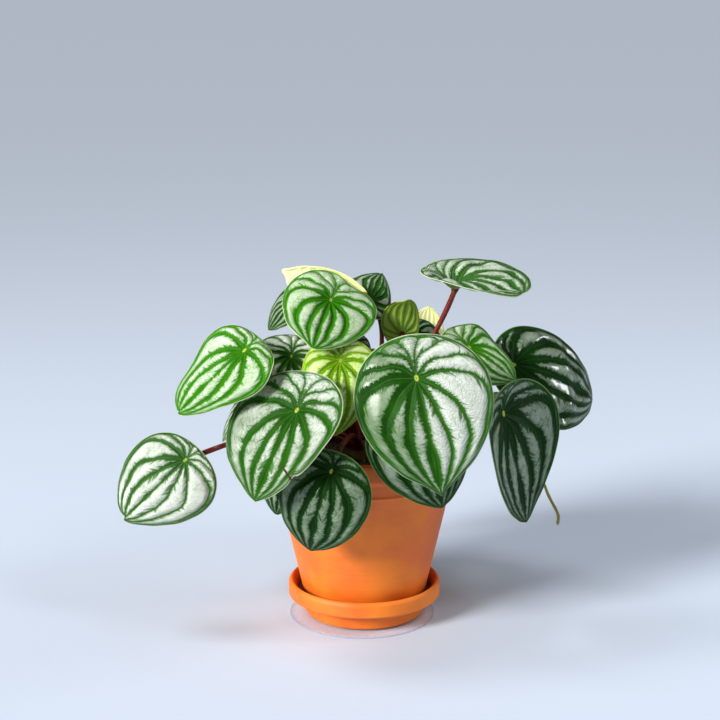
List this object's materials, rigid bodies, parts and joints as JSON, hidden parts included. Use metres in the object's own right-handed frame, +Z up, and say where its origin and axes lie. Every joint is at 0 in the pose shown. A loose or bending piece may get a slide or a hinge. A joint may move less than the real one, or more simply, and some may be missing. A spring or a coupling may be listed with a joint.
{
  "type": "potted peperomia",
  "caption": "Bushy silver-striped peperomia with round pointed leaves on red-brown petioles, in a tapered clay pot and saucer on a thin clear disc.",
  "frame": {"origin": "on the surface that the part stands on, under the pot's axis", "axes": "+Z up along the pot's axis, -Y towards the plant's front, where the large striped leaves face"},
  "size_m": [0.3084, 0.204, 0.2292],
  "materials": {
    "clay": "matte",
    "clear": "gloss",
    "potting_mix": "matte",
    "petiole": "satin",
    "leaf": "satin",
    "bright_leaf": "satin",
    "dark_leaf": "satin",
    "young_leaf": "satin"
  },
  "bodies": {
    "root": {"clear_disc": "clear", "saucer": "clay", "pot": "clay", "soil": "potting_mix", "stems": "petiole", "leaf_far_left": "leaf", "leaf_upper_left": "bright_leaf", "leaf_top_centre": "bright_leaf", "leaf_top_right": "leaf", "leaf_right_bright": "bright_leaf", "leaf_right_glossy": "leaf", "leaf_right_hanging": "dark_leaf", "leaf_front_large": "leaf", "leaf_front_under": "dark_leaf", "leaf_front_left": "leaf", "leaf_front_low": "dark_leaf", "leaf_young_lime": "young_leaf", "leaf_left_inner": "leaf", "leaf_top_back": "leaf", "leaf_small_dark": "dark_leaf", "leaf_pale_back": "young_leaf", "leaf_young_folded": "bright_leaf", "leaf_pale_right": "young_leaf", "leaf_centre_dark": "dark_leaf", "leaf_middle_dark": "dark_leaf", "leaf_left_low": "dark_leaf", "leaf_under_left": "dark_leaf", "leaf_rear_upper_right": "leaf", "leaf_rear_upper": "leaf", "leaf_rear_upper_left": "leaf", "leaf_rear_right": "leaf", "leaf_rear_left": "leaf", "leaf_left_rear": "leaf", "leaf_rear_low_left": "dark_leaf", "leaf_rear_low": "dark_leaf", "leaf_rear_low_right": "dark_leaf", "leaf_right_rear": "leaf"}
  },
  "joints": []
}
